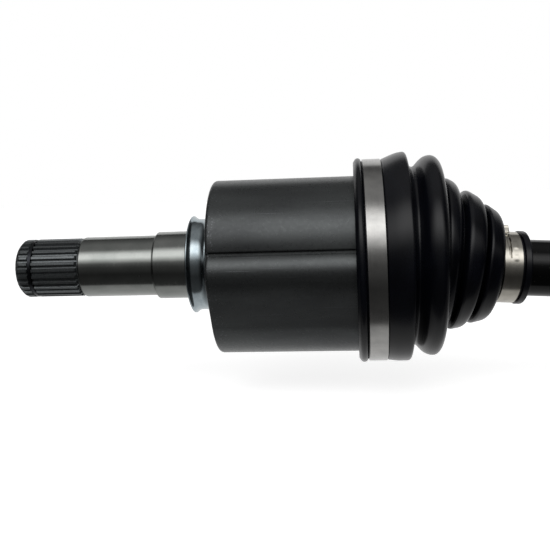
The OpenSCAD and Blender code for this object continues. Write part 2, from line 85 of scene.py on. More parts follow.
def rounded(corners, closed=False):
    """Points along the corners (x, r) or (x, r, cut). A cut rounds its corner, from cut before it
    to cut after it."""
    points = []
    count = len(corners)
    for i, corner in enumerate(corners):
        here = Vector(corner[:2])
        cut = corner[2] if len(corner) > 2 else 0
        at_end = not closed and i in (0, count - 1)
        if cut == 0 or at_end:
            points.append(tuple(here))
            continue
        before = Vector(corners[i - 1][:2]) - here
        after = Vector(corners[(i + 1) % count][:2]) - here
        start = here + before.normalized() * min(cut, before.length * 0.48)
        end = here + after.normalized() * min(cut, after.length * 0.48)
        for step in range(ROUNDING_STEPS + 1):
            u = step / ROUNDING_STEPS
            points.append(tuple(start * (1 - u) ** 2 + here * 2 * u * (1 - u) + end * u ** 2))
    return points


def skin(name, rings, loop=False):
    """A closed mesh through rings of equally many points, in millimetres. The end rings are
    capped, or joined to each other if loop is true."""
    sides = len(rings[0])
    bm = bmesh.new()
    rows = [[bm.verts.new(Vector(point) * MM) for point in ring] for ring in rings]
    pairs = list(zip(rows, rows[1:]))
    if loop:
        pairs.append((rows[-1], rows[0]))
    else:
        bm.faces.new(rows[0])
        bm.faces.new(rows[-1])
    for low, high in pairs:
        for j in range(sides):
            k = (j + 1) % sides
            bm.faces.new((low[j], low[k], high[k], high[j]))
    bmesh.ops.recalc_face_normals(bm, faces=bm.faces)
    mesh = bpy.data.meshes.new(name)
    bm.to_mesh(mesh)
    bm.free()
    mesh.shade_smooth()
    mesh.set_sharp_from_angle(angle=SHARP_EDGE)
    made = bpy.data.objects.new(name, mesh)
    bpy.context.collection.objects.link(made)
    return made


def turned(outline, sides=180, shape=None):
    """Rings about the X axis for (x, r) points. shape(x, r, turn) may change r round the ring,
    where turn goes from 0 to 1, starts at -Y and climbs towards +Z."""
    rings = []
    for x, r in outline:
        ring = []
        for i in range(sides):
            turn = i / sides
            here = shape(x, r, turn) if shape else r
            angle = turn * math.tau
            ring.append((x, -here * math.cos(angle), here * math.sin(angle)))
        rings.append(ring)
    return rings


def tooth_r(turn, teeth, tip_r, root_r):
    """Radius of a spline with rounded teeth at that part of a turn."""
    from_tip = abs((turn * teeth + 0.5) % 1 - 0.5)
    rise = min(1, max(0, (0.36 - from_tip) / 0.2))
    return root_r + (tip_r - root_r) * rise * rise * (3 - 2 * rise)


def in_plain_steps(start, end, step):
    """x values from start to end, about step apart."""
    count = max(1, round(abs(end - start) / step))
    return [start + (end - start) * i / count for i in range(count + 1)]


spline_outline = rounded([
    (STUB_END + 7, 0.4),
    (STUB_END, CENTRE_HOLE_R, 0.4),
    (STUB_END, SPLINE_R - 2.6, 0.8),
    (STUB_END + 2.6, SPLINE_R + 0.1, 1.2),
    (GROOVE_MIDDLE - GROOVE_HALF, SPLINE_R + 0.1, 0.2),
    (GROOVE_MIDDLE - GROOVE_HALF, RELIEF_R),
    (GROOVE_MIDDLE + GROOVE_HALF, RELIEF_R),
    (GROOVE_MIDDLE + GROOVE_HALF, SPLINE_R + 0.1, 0.2),
    (SPLINE_RIGHT - 0.9, SPLINE_R + 0.1, 0.5),
    (SPLINE_RIGHT, SPLINE_R - 1.2),
    (SPLINE_RIGHT + 0.05, RELIEF_R),
    (JOURNAL_LEFT + 2, RELIEF_R),
])


def stub_shape(x, r, turn):
    """The turned outline, cut back to the teeth along the spline."""
    if x > SPLINE_RIGHT:
        return r
    return min(r, tooth_r(turn, SPLINE_TEETH, SPLINE_R, SPLINE_ROOT_R))


def linear(hex_colour):
    """An sRGB hex colour as linear RGBA."""
    values = [int(hex_colour[i:i + 2], 16) / 255 for i in (1, 3, 5)]
    return tuple(v / 12.92 if v <= 0.04045 else ((v + 0.055) / 1.055) ** 2.4 for v in values) + (1,)


def add(tree, kind, inputs=(), **settings):
    """Adds a node to the tree, with its settings, and its inputs as values or links."""
    made = tree.nodes.new(kind)
    for name, value in settings.items():
        setattr(made, name, value)
    for name, value in dict(inputs).items():
        if isinstance(value, bpy.types.NodeSocket):
            tree.links.new(value, made.inputs[name])
        else:
            made.inputs[name].default_value = value
    return made


def finish_of(name, **constants):
    """A new material with one Principled shader. Returns the material, its tree and the shader."""
    material = bpy.data.materials.new(name)
    material.use_nodes = True
    tree = material.node_tree
    tree.nodes.clear()
    inputs = {key.replace("_", " "): value for key, value in constants.items()}
    shader = add(tree, "ShaderNodeBsdfPrincipled", inputs)
    add(tree, "ShaderNodeOutputMaterial", {"Surface": shader.outputs[0]})
    return material, tree, shader


def grain(tree, across, along, detail=2.0):
    """Noise from 0 to 1 in an object's own space. Its features measure across mm along X, the
    axis of the turned pieces, and along mm the other two ways."""
    place = add(tree, "ShaderNodeTexCoord")
    sized = add(tree, "ShaderNodeMapping", {
        "Vector": place.outputs["Object"],
        "Scale": (1 / (across * MM), 1 / (along * MM), 1 / (along * MM)),
    })
    made = add(tree, "ShaderNodeTexNoise", {
        "Vector": sized.outputs[0], "Scale": 1.0, "Detail": detail,
    })
    return made.outputs[0]


def between(tree, value, low, high, to_low, to_high):
    """Maps value from low..high to to_low..to_high, clamped."""
    made = add(tree, "ShaderNodeMapRange", {
        "Value": value, "From Min": low, "From Max": high, "To Min": to_low, "To Max": to_high,
    })
    return made.outputs[0]


MIX_SHARE = 0
MIX_FIRST = 6
MIX_SECOND = 7
MIX_RESULT = 2


def blend_colours(tree, share, first, second):
    """A colour between two, by share. Each is a hex colour or another node's output."""
    first, second = [linear(c) if isinstance(c, str) else c for c in (first, second)]
    made = add(tree, "ShaderNodeMix", {
        MIX_SHARE: share, MIX_FIRST: first, MIX_SECOND: second,
    }, data_type="RGBA")
    return made.outputs[MIX_RESULT]


def relief(tree, shader, height, depth, strength=1.0):
    """Bump of that depth in mm from height."""
    made = add(tree, "ShaderNodeBump", {
        "Height": height, "Distance": depth * MM, "Strength": strength,
    })
    tree.links.new(made.outputs[0], shader.inputs["Normal"])


def phosphated_steel():
    """Rolled steel under a thin phosphate film: dark, with a soft sheen on the teeth's tips and
    a fine grain about 0.6 mm across, coarser than the crystals so that it shows."""
    material, tree, shader = finish_of("phosphated_rolled_steel", Metallic=0.75)
    film = grain(tree, 0.6, 0.6, 3.0)
    rolling = grain(tree, 9.0, 0.35)
    colour = blend_colours(tree, between(tree, film, 0.35, 0.7, 0.0, 1.0), "#5c6062", "#777b7c")
    tree.links.new(colour, shader.inputs["Base Color"])
    tree.links.new(between(tree, rolling, 0.3, 0.7, 0.26, 0.36), shader.inputs["Roughness"])
    relief(tree, shader, film, 0.02, 0.5)
    return material


def finished(piece, material, body=None):
    """Gives a piece its material, and its body if it only rides."""
    piece.data.materials.append(material)
    if body:
        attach(piece, body)
    return piece


spline_rings = turned(spline_outline, SPLINE_TEETH * SAMPLES_PER_TOOTH, stub_shape)
inner_spline = skin("inner_spline", spline_rings)
finished(inner_spline, phosphated_steel(), "inner_joint")
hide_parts("inner_housing")

# ---- Circlip --------------------------------------------------------------------------------
# A round spring wire clip that snaps into the gearbox's side gear. It lies sprung in its groove,
# oiled and blued, and its CAD shape is right.


def spring_steel():
    """Drawn and blued spring wire: smooth, dark grey, with draw marks about 0.3 mm apart."""
    material, tree, shader = finish_of("blued_spring_steel", Metallic=1.0)
    marks = grain(tree, 0.3, 4.0)
    colour = blend_colours(tree, marks, "#2b2c2f", "#3d3f43")
    tree.links.new(colour, shader.inputs["Base Color"])
    tree.links.new(between(tree, marks, 0.3, 0.7, 0.22, 0.34), shader.inputs["Roughness"])
    return material


def paint_nodes(names, material):
    """Gives CAD nodes, which keep their shape, a material."""
    for name in names:
        for material_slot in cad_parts[name].material_slots:
            material_slot.material = material


sprung_wire = spring_steel()
paint_nodes(["stub_circlip"], sprung_wire)

# ---- Journals -------------------------------------------------------------------------------
# The seal's and the bearing's seats and the boss behind them, turned from the same forging and
# then ground. Fine rings from the wheel run round them, and handling leaves small marks.

SEAL_R = 15.85
STEP_LEFT = 19.5
BEARING_R = 17.6
BEARING_LEFT = 20.6
BOSS_LEFT = 38.6
BOSS_R = 22.5
BARREL_LEFT = 53.0

journal_outline = rounded([
    (JOURNAL_LEFT, RELIEF_R - 1),
    (JOURNAL_LEFT, SEAL_R - 0.5, 0.15),
    (JOURNAL_LEFT + 0.6, SEAL_R, 0.4),
    (STEP_LEFT - 0.3, SEAL_R, 0.2),
    (STEP_LEFT, SEAL_R - 0.15, 0.15),
    (STEP_LEFT + 0.35, SEAL_R - 0.1, 0.15),
    (BEARING_LEFT, BEARING_R, 0.7),
    (BOSS_LEFT - 0.5, BEARING_R, 0.3),
    (BOSS_LEFT, BEARING_R - 0.2, 0.1),
    (BOSS_LEFT, BOSS_R, 0.4),
    (BARREL_LEFT - 2, BOSS_R, 0.5),
    (BARREL_LEFT + 1, BOSS_R + 1.5),
])


def ground_steel():
    """Ground and lightly burnished bearing steel: mirror-like along the axis, with grinding
    rings drawn 0.5 mm apart, coarser than the real ones so that they show, and faint rubs."""
    material, tree, shader = finish_of("ground_steel", Metallic=1.0)
    rings = grain(tree, 0.5, 60.0, 3.0)
    rubs = grain(tree, 1.4, 5.0, 4.0)
    stain = grain(tree, 14.0, 9.0, 3.0)
    colour = blend_colours(tree, between(tree, stain, 0.35, 0.7, 0.0, 1.0), "#8f928f", "#9fa19e")
    tree.links.new(colour, shader.inputs["Base Color"])
    rub_roughness = between(tree, rubs, 0.58, 0.74, 0.0, 0.12)
    ring_roughness = between(tree, rings, 0.3, 0.7, 0.12, 0.18)
    total = add(tree, "ShaderNodeMath", {0: rub_roughness, 1: ring_roughness}, operation="ADD")
    tree.links.new(total.outputs[0], shader.inputs["Roughness"])
    relief(tree, shader, rings, 0.002, 0.3)
    return material


journals = skin("journals", turned(journal_outline))
finished(journals, ground_steel(), "inner_joint")
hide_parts("inner_housing")

# ---- Dust shield ----------------------------------------------------------------------------
# A thin pressed steel ring with two rolled lips, pressed on the boss to guard the gearbox seal.
# Its zinc plating is bright and slightly blue.

SHIELD_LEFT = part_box("dust_shield")[0][0] / MM
SHIELD_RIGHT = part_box("dust_shield")[1][0] / MM
SHIELD_IN_R = 22.52
SHIELD_R = 23.9
SHIELD_LIP_R = 25.7
SHIELD_BORE_R = 17.9

shield_outline = rounded([
    (SHIELD_LEFT + 0.1, SHIELD_BORE_R, 0.2),
    (SHIELD_LEFT + 0.1, SHIELD_LIP_R - 1.6, 1.2),
    (SHIELD_LEFT + 0.9, SHIELD_LIP_R, 0.7),
    (SHIELD_LEFT + 3.0, SHIELD_R - 0.1, 1.9),
    (SHIELD_RIGHT - 3.2, SHIELD_R - 0.1, 1.9),
    (SHIELD_RIGHT - 0.7, SHIELD_LIP_R - 0.1, 0.6),
    (SHIELD_RIGHT, SHIELD_LIP_R - 1.0, 0.4),
    (SHIELD_RIGHT, SHIELD_IN_R, 0.2),
    (SHIELD_LEFT + 1.1, SHIELD_IN_R, 0.3),
    (SHIELD_LEFT + 1.1, SHIELD_BORE_R, 0.2),
], closed=True)


def zinc_plate():
    """Bright zinc plate with a clear blue passivate on pressed steel: pale, glossy, a little
    blue, with a cloudy bloom about 3 mm across and draw lines from the press."""
    material, tree, shader = finish_of("blue_zinc_plate", Metallic=1.0)
    bloom = grain(tree, 2.0, 3.0, 4.0)
    lines = grain(tree, 0.4, 30.0)
    colour = blend_colours(tree, between(tree, bloom, 0.3, 0.7, 0.0, 1.0), "#a6b2b8", "#b8c3c7")
    tree.links.new(colour, shader.inputs["Base Color"])
    tree.links.new(between(tree, bloom, 0.3, 0.7, 0.12, 0.17), shader.inputs["Roughness"])
    relief(tree, shader, lines, 0.003, 0.3)
    return material


dust_shield = skin("dust_shield_ring", turned(shield_outline), loop=True)
finished(dust_shield, zinc_plate(), "inner_joint")
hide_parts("dust_shield")

# ---- Tripod housing -------------------------------------------------------------------------
# The forged barrel of the inner joint. Three broad lobes hold the roller tracks, and flats and
# grooves between them save weight. It is black-oxidised, with scratches and small chips.

BARREL_RIGHT = 137.0
LOBES = 3
FIRST_LOBE = 40.0
FLAT_LEAD = 50.0
FLAT_DISTANCE = 43.15
HOUSING_R = 46.4
LOBE_R = 36.0
LOBE_LEAD = 36.5
NOSE_R = 14.0
NOSE_ANGLE = -43.5
NOSE_TRAIL = 37
GROOVE_ANGLE = -33.5
GROOVE_R = 43.0
GROOVE_WALL = 4.3
BARREL_EDGE = 2.0
TRACK_PITCH_R = 27.0
TRACK_R = 16.25
TRACK_BACK_R = 38.5
BORE_R = 24.0
MOUTH_R = 36.0
MOUTH_LENGTH = 24.0
BARREL_FLOOR = 59.5


def polar(angle, distance):
    """A point of the section, with Y towards the viewer's side and Z up."""
    return Vector((math.cos(math.radians(angle)), math.sin(math.radians(angle)))) * distance


def arc(centre, radius, start, end, step=1.5):
    """Points on a round stretch of the section."""
    return [tuple(centre + polar(angle, radius)) for angle in in_plain_steps(start, end, step)]


def lobe_section(lobe):
    """One third of the barrel's outline: lobe, flat, nose and groove."""
    tangent_height = FLAT_DISTANCE - LOBE_R
    centre_distance = HOUSING_R - LOBE_R
    centre_angle = lobe + FLAT_LEAD - math.degrees(math.acos(tangent_height / centre_distance))
    centre = polar(centre_angle, centre_distance)
    next_lobe = lobe + 360 / LOBES
    flat_half = math.sqrt(HOUSING_R ** 2 - FLAT_DISTANCE ** 2)
    flat_end = polar(lobe + FLAT_LEAD, FLAT_DISTANCE) + polar(lobe + FLAT_LEAD + 90, flat_half)
    nose_centre = polar(next_lobe + NOSE_ANGLE, HOUSING_R - NOSE_R)
    groove = next_lobe + GROOVE_ANGLE
    groove_bottom = polar(groove, GROOVE_R) + polar(groove + 90, GROOVE_WALL)
    lobe_arc = arc(centre, LOBE_R, lobe - LOBE_LEAD, lobe + FLAT_LEAD)
    nose_arc = arc(nose_centre, NOSE_R, next_lobe + NOSE_ANGLE, groove + NOSE_TRAIL)
    corners = [tuple(lobe_arc[0]) + (1.1,)] + lobe_arc[1:]
    corners += [tuple(flat_end) + (7.0,)] + nose_arc + [tuple(groove_bottom) + (0.7,)]
    return corners


barrel_section = []
for number in range(LOBES):
    barrel_section += lobe_section(FIRST_LOBE + number * 360 / LOBES)
barrel_section = [Vector(point) for point in rounded(barrel_section, closed=True)]


def outward(i):
    """Direction that points out of the section at its point i."""
    along = barrel_section[(i + 1) % len(barrel_section)] - barrel_section[i - 1]
    return Vector((along.y, -along.x)).normalized()


def barrel_ring(x, inset):
    """The barrel's outline at x, drawn in by inset."""
    ring = []
    for i, point in enumerate(barrel_section):
        moved = point - outward(i) * inset
        ring.append((x, -moved.x, moved.y))
    return ring


def track_ring(x):
    """The barrel's hollow at x, matched point by point to its outline."""
    flare = BORE_R + (MOUTH_R - BORE_R) * max(0, 1 - (BARREL_RIGHT - x) / MOUTH_LENGTH)
    ring = []
    for point in barrel_section:
        angle = math.degrees(math.atan2(point.y, point.x))
        off = math.radians((angle - FIRST_LOBE + 60) % 120 - 60)
        side = TRACK_PITCH_R * math.sin(off)
        track = 0
        if abs(side) < TRACK_R:
            track = TRACK_PITCH_R * math.cos(off) + math.sqrt(TRACK_R ** 2 - side ** 2)
        moved = point.normalized() * max(flare, min(TRACK_BACK_R, track))
        ring.append((x, -moved.x, moved.y))
    return ring


barrel_rings = []
for step in range(ROUNDING_STEPS + 1):
    bend = math.radians(90 * step / ROUNDING_STEPS)
    barrel_rings.append(barrel_ring(BARREL_LEFT + BARREL_EDGE * (1 - math.cos(bend)),
                                    BARREL_EDGE * (1 - math.sin(bend))))
barrel_rings += [barrel_ring(BARREL_RIGHT - 0.8, 0), barrel_ring(BARREL_RIGHT, 0.8)]
mouth_steps = in_plain_steps(BARREL_RIGHT, BARREL_RIGHT - MOUTH_LENGTH, 4)
barrel_rings += [track_ring(x) for x in mouth_steps]
barrel_rings.append(track_ring(BARREL_FLOOR))


def black_oxide():
    """Black-oxidised forging: a satin dark grey skin, with pits about 1.5 mm apart, scratches
    along the axis 0.25 mm wide and, near the left edge, chips that show brighter steel."""
    material, tree, shader = finish_of("black_oxide_steel", Metallic=0.75)
    skin_grain = grain(tree, 1.5, 1.5, 5.0)
    clouds = grain(tree, 45.0, 14.0, 3.0)
    scratches = grain(tree, 55.0, 0.25, 1.0)
    where_scratched = grain(tree, 26.0, 7.0, 2.0)
    chips = grain(tree, 1.1, 0.8, 3.0)
    colour = blend_colours(tree, between(tree, clouds, 0.3, 0.7, 0.0, 1.0), "#4a4c4d", "#5c5f5f")
    thin = between(tree, scratches, 0.73, 0.77, 0.0, 1.0)
    zone = between(tree, where_scratched, 0.5, 0.62, 0.0, 1.0)
    worn = add(tree, "ShaderNodeMath", {0: thin, 1: zone}, operation="MULTIPLY")
    place = add(tree, "ShaderNodeTexCoord")
    split = add(tree, "ShaderNodeSeparateXYZ", {"Vector": place.outputs["Object"]})
    near_edge = between(tree, split.outputs[0],
                        (BARREL_LEFT + 1) * MM, (BARREL_LEFT + 9) * MM, 1.0, 0.0)
    chipped = between(tree, chips, 0.62, 0.68, 0.0, 1.0)
    edge_wear = add(tree, "ShaderNodeMath", {0: chipped, 1: near_edge}, operation="MULTIPLY")
    wear = add(tree, "ShaderNodeMath", {
        0: worn.outputs[0], 1: edge_wear.outputs[0],
    }, operation="MAXIMUM")
    colour = blend_colours(tree, wear.outputs[0], colour, "#84858a")
    tree.links.new(colour, shader.inputs["Base Color"])
    tree.links.new(between(tree, skin_grain, 0.3, 0.7, 0.26, 0.36), shader.inputs["Roughness"])
    relief(tree, shader, skin_grain, 0.03, 0.35)
    return material


barrel = skin("tripod_barrel", barrel_rings)
finished(barrel, black_oxide(), "inner_joint")
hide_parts("inner_housing")

# ---- Trilobe bushing ------------------------------------------------------------------------
# A moulded ring that fills the barrel's flats and grooves, so that the boot's round cuff seals
# on it. Only its left edge shows, under the boot's lip, and its CAD shape is right.


def moulded_plastic():
    """Moulded polyester elastomer: matt black, with an even spark-eroded grain of 0.4 mm."""
    material, tree, shader = finish_of("moulded_elastomer", Metallic=0.0, IOR=1.5)
    texture = grain(tree, 0.4, 0.4)
    colour = blend_colours(tree, texture, "#19191a", "#242425")
    tree.links.new(colour, shader.inputs["Base Color"])
    tree.links.new(between(tree, texture, 0.3, 0.7, 0.5, 0.62), shader.inputs["Roughness"])
    relief(tree, shader, texture, 0.02, 0.5)
    return material


paint_nodes(["trilobe_bushing"], moulded_plastic())

# ---- Tripod: spider, rollers, needles -------------------------------------------------------
# The spider sits on the bar's spline, held by snap rings, with a crowned roller on needles on
# each of its three trunnions. All are ground bearing steel, and their CAD shapes are right.


def bearing_steel():
    """Hardened and polished bearing steel under a film of grease: bright, with lapping marks
    about 0.5 mm across."""
    material, tree, shader = finish_of("polished_bearing_steel", Metallic=1.0)
    marks = grain(tree, 0.5, 0.5, 4.0)
    colour = blend_colours(tree, marks, "#a9a9ab", "#c9c9ca")
    tree.links.new(colour, shader.inputs["Base Color"])
    tree.links.new(between(tree, marks, 0.3, 0.7, 0.1, 0.2), shader.inputs["Roughness"])
    return material


polished = bearing_steel()
paint_nodes(["tripod_spider", "roller_1", "roller_2", "roller_3"], polished)
paint_nodes(["needle_set_1", "needle_set_2", "needle_set_3"], polished)
paint_nodes(["spider_snap_rings", "trunnion_washers", "trunnion_snap_rings"], sprung_wire)

# ---- Inner boot -----------------------------------------------------------------------------
# A moulded rubber bellows with five folds. Its large cuff is clamped over the bushing and its
# neck on the bar. It is two skins that meet at the foot of the second fold.

TRIPOD_X = 98.0
DIP = math.radians(3)
LIP_START = 25.8
CUFF_START = 30.2
CUFF_END = 39.6
CUFF_IN_R = 47.55
CUFF_R = 50.45
LIP_R = 51.7
BOOT_WALL = 2.6
NECK_START = 95.0
NECK_R = 17.0
NECK_IN_R = 14.3
NECK_LIP_R = 18.5
SEAM_R = 35.5

first_skin_outline = rounded([
    (LIP_START, LIP_R - 1.8, 1.2),
    (LIP_START + 1.4, LIP_R + 0.4, 1.5),
    (CUFF_START - 0.9, LIP_R + 0.3, 1.4),
    (CUFF_START - 0.1, CUFF_R, 0.3),
    (CUFF_END, CUFF_R),
    (CUFF_END + 0.3, CUFF_R + 0.6, 0.6),
    (46.0, 52.8, 3.0),
    (51.3, 53.1, 1.7),
    (52.2, 46.4, 1.6),
    (54.4, 44.6, 2.0),
    (59.1, 49.9, 3.0),
    (64.0, 51.0, 2.6),
    (67.0, 48.2, 2.2),
    (68.0, 43.0, 1.5),
    (68.4, SEAM_R),
])
second_skin_outline = rounded([
    (67.0, SEAM_R),
    (67.9, 39.6, 1.9),
    (72.8, 37.4, 2.8),
    (74.4, 30.0, 0.9),
    (75.8, 35.8, 1.9),
    (83.0, 33.0, 3.0),
    (84.2, 24.5, 0.9),
    (85.6, 30.8, 1.9),
    (93.4, 27.2, 3.0),
    (NECK_START, NECK_R, 1.0),
    (105.2, NECK_R),
    (105.5, NECK_LIP_R, 0.4),
    (108.6, NECK_LIP_R, 0.9),
    (108.9, NECK_IN_R + 0.6),
])

# How a skin's rings sit, by the distance from the tripod: the height of the ring's centre, and
# the angles in degrees that its plane leans over and turns. The bar's droop lifts the wide
# folds and bunches the narrow ones underneath, and the neck sits a little askew on the bar.
WIDE_POSES = [
    (0, 0.0, -0.6, 0.0), (26, 0.0, -0.6, 0.4),
    (CUFF_START, 0.0, -0.9, 0.7), (CUFF_END, 0.0, -0.9, 0.7),
    (47.5, 1.3, -0.4, 1.0), (51.5, 1.6, -0.4, 1.4), (54.5, 1.7, 0.5, 1.0), (64.0, 1.7, 0.2, 1.5),
    (70.0, 1.8, 0.8, 1.5),
]
NARROW_POSES = [
    (67.0, 1.8, 3.5, 1.0), (73.0, 0.6, 5.7, 1.5), (76.0, -0.9, 8.0, 3.0),
    (83.0, -2.5, 9.3, 5.0), (90.0, -3.9, 8.6, 4.0), (94.0, -4.6, 8.2, 4.5),
    (96.5, -5.05, 4.5, 6.0), (120.0, -6.3, 4.5, 6.0),
]


def ring_pose(distance, poses):
    """Centre of the inner boot's ring at that distance from the tripod, and the directions in
    the ring's plane to its front and to its top."""
    for low, high in zip(poses, poses[1:]):
        if distance <= high[0]:
            break
    share = (distance - low[0]) / (high[0] - low[0])
    height, lean, turn = [a + (b - a) * share for a, b in zip(low[1:], high[1:])]
    lean, turn = math.radians(lean), math.radians(turn)
    to_front = Vector((math.sin(turn), -math.cos(turn), 0))
    to_top = Vector((math.sin(lean), 0, math.cos(lean)))
    return Vector((TRIPOD_X + distance, 0, height)), to_front, to_top


def inner_boot_rings(outline, poses):
    """Rings of one of the inner boot's skins, outside and then back along the inside."""
    inside = []
    for distance, r in reversed(outline):
        if distance <= CUFF_END:
            inside.append((distance, CUFF_IN_R))
        elif distance >= NECK_START - 0.5:
            inside.append((distance, NECK_IN_R))
        else:
            inside.append((distance, r - BOOT_WALL))
    rings = []
    for distance, r in outline + inside:
        centre, to_front, to_top = ring_pose(distance, poses)
        angles = [i / 180 * math.tau for i in range(180)]
        rings.append([centre + (to_front * math.cos(a) + to_top * math.sin(a)) * r for a in angles])
    return rings


def boot_rubber():
    """Moulded neoprene, wiped with mould release: near black with a blue cast and a soft gloss.
    Its skin has a fine grain of 0.5 mm and dull patches about 12 mm across."""
    material, tree, shader = finish_of("moulded_neoprene", Metallic=0.0, IOR=1.5,
                                       Specular_IOR_Level=0.36)
    texture = grain(tree, 0.5, 0.5, 3.0)
    patches = grain(tree, 9.0, 14.0, 3.0)
    colour = blend_colours(tree, between(tree, patches, 0.3, 0.7, 0.0, 1.0), "#07080e", "#0d0f17")
    tree.links.new(colour, shader.inputs["Base Color"])
    tree.links.new(between(tree, patches, 0.3, 0.7, 0.2, 0.28), shader.inputs["Roughness"])
    relief(tree, shader, texture, 0.012, 0.35)
    return material


rubber = boot_rubber()
wide_rings = inner_boot_rings(first_skin_outline, WIDE_POSES)
first_skin = skin("inner_boot_wide_folds", wide_rings, loop=True)
finished(first_skin, rubber)
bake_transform(first_skin)
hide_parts("inner_boot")
narrow_rings = inner_boot_rings(second_skin_outline, NARROW_POSES)
second_skin = skin("inner_boot_narrow_folds", narrow_rings, loop=True)
finished(second_skin, rubber)
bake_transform(second_skin)
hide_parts("inner_boot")

# ---- Clamp bands on the inner boot ----------------------------------------------------------
# Rolled stainless strip bent round the cuffs, its ends overlapped and drawn tight by a crimped
# ear. The large band rides on the housing and the small one on the bar.

BAND_WALL = 0.9
BAND_EDGE = 0.22
LARGE_BAND_R = 50.55
SMALL_BAND_R = 17.1
LARGE_BAND_LEFT = 128.5
SMALL_BAND_LEFT = 95.5
BAND_WIDTH = 9.0
EAR_HEIGHT = 3.3
EAR_FROM_EDGE = 3.4
LARGE_EAR_ANGLE = 160.0
SMALL_EAR_ANGLE = 92.0
LARGE_TONGUE = 26.0
SMALL_TONGUE = 84.0
SLIT_FROM = 0.22
SLIT_TO = 0.85
SLIT_DEPTH = 0.75
BUMP_HEIGHT = 0.13


def hump(value, middle, half, soft):
    """1 within half of middle, falling smoothly to 0 over soft beyond it."""
    over = (half + soft - abs(value - middle)) / soft
    over = min(1, max(0, over))
    return over * over * (3 - 2 * over)


def clamp_rings(inner_r, left, ear_angle, tongue, lean, turn):
    """Rings of a band from x = left, with its ear at ear_angle and a slit and two pressed bumps
    over the next tongue degrees. Its planes lean and turn by those degrees."""

    def outside(x, r, turn_share):
        if r < inner_r + BAND_WALL / 2:
            return r
        angle = (turn_share * 360 - ear_angle + 180) % 360 - 180
        around = math.radians(angle) * inner_r
        from_ear = x - left - EAR_FROM_EDGE
        ear = hump(from_ear, 0, 1.5, 0.8) * hump(around, 0, 1.5, 1.3)
        waist = 0.3 * hump(around, 0, 0.3, 1.0)
        raised = EAR_HEIGHT * ear * (1 - waist)
        along_slit = -angle / tongue
        if SLIT_FROM < along_slit < SLIT_TO:
            narrowing = (SLIT_TO - along_slit) / (SLIT_TO - SLIT_FROM)
            raised -= SLIT_DEPTH * hump(from_ear, -0.4, 0.8 * narrowing, 0.45)
        for spot, half in ((0.58, 1.3), (0.85, 0.5)):
            from_spot = math.radians(angle + spot * tongue) * inner_r
            raised += BUMP_HEIGHT * hump(from_spot, 0, half, 1.5) * hump(from_ear, 2.2, 0.2, 1.6)
        return r + raised

    right = left + BAND_WIDTH
    outer_r = inner_r + BAND_WALL
    xs = in_plain_steps(left + BAND_EDGE, right - BAND_EDGE, 0.3)
    outline = [(left, inner_r + BAND_EDGE), (left, outer_r - BAND_EDGE)]
    outline += [(x, outer_r) for x in xs]
    outline += [(right, outer_r - BAND_EDGE), (right, inner_r + BAND_EDGE)]
    outline += [(x, inner_r) for x in (xs[-1], xs[0])]
    tilt = math.tan(math.radians(lean))
    swing = math.tan(math.radians(turn))
    rings = turned(outline, 360, outside)
    return [[(x + z * tilt - y * swing, y, z) for x, y, z in ring] for ring in rings]


def rolled_stainless(name, dark, light, roughness):
    """Cold-rolled stainless strip: satin, with rolling lines 0.3 mm apart round the band, slight
    dulling where fingers held it and a few small dents."""
    material, tree, shader = finish_of(name, Metallic=1.0)
    lines = grain(tree, 0.3, 40.0, 3.0)
    dull = grain(tree, 6.0, 5.0, 3.0)
    dents = grain(tree, 2.5, 2.5, 1.0)
    colour = blend_colours(tree, between(tree, dull, 0.3, 0.7, 0.0, 1.0), dark, light)
    tree.links.new(colour, shader.inputs["Base Color"])
    satin = between(tree, lines, 0.3, 0.7, roughness - 0.03, roughness + 0.04)
    tree.links.new(satin, shader.inputs["Roughness"])
    dented = between(tree, dents, 0.6, 0.75, 0.0, 1.5)
    both = add(tree, "ShaderNodeMath", {0: lines, 1: dented}, operation="SUBTRACT")
    relief(tree, shader, both.outputs[0], 0.005, 0.35)
    return material


def bar_frame(distance):
    """Frame whose X axis is the bar's, with its origin that many mm from the tripod."""
    turn = Matrix.Rotation(DIP, 4, "Y")
    start = Matrix.Translation((TRIPOD_X * MM, 0, 0))
    return start @ turn @ Matrix.Translation((distance * MM, 0, 0))


satin_band = rolled_stainless("rolled_stainless", "#aaa9a7", "#b9b8b5", 0.19)
bright_band = rolled_stainless("bright_rolled_stainless", "#b3afa6", "#c6c2b8", 0.2)
large_rings = clamp_rings(LARGE_BAND_R, LARGE_BAND_LEFT, LARGE_EAR_ANGLE, LARGE_TONGUE, -0.9, 0.7)
large_band = skin("inner_band_large", large_rings, loop=True)
finished(large_band, satin_band, "inner_joint")
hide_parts("inner_large_clamp")
small_rings = clamp_rings(SMALL_BAND_R, SMALL_BAND_LEFT, SMALL_EAR_ANGLE, SMALL_TONGUE, 1.5, 6.0)
small_band = skin("inner_band_small", small_rings, loop=True)
small_band.matrix_world = bar_frame(0)
finished(small_band, bright_band, "axle")
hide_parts("inner_small_clamp")

# ---- Bar ------------------------------------------------------------------------------------
# The solid bar between the joints, turned with a spline at each end and necked inside the
# joints. The part between the boots is coated with gloss black paint.

JOINT_SPACING = 395.0
BAR_R = 14.2
BAR_NECK_R = 11.5
BAR_SPLINE_R = 12.2
INNER_SEAT = 93.6
OUTER_SEAT = JOINT_SPACING - 87.0
SNAP_GROOVE_R = 11.3


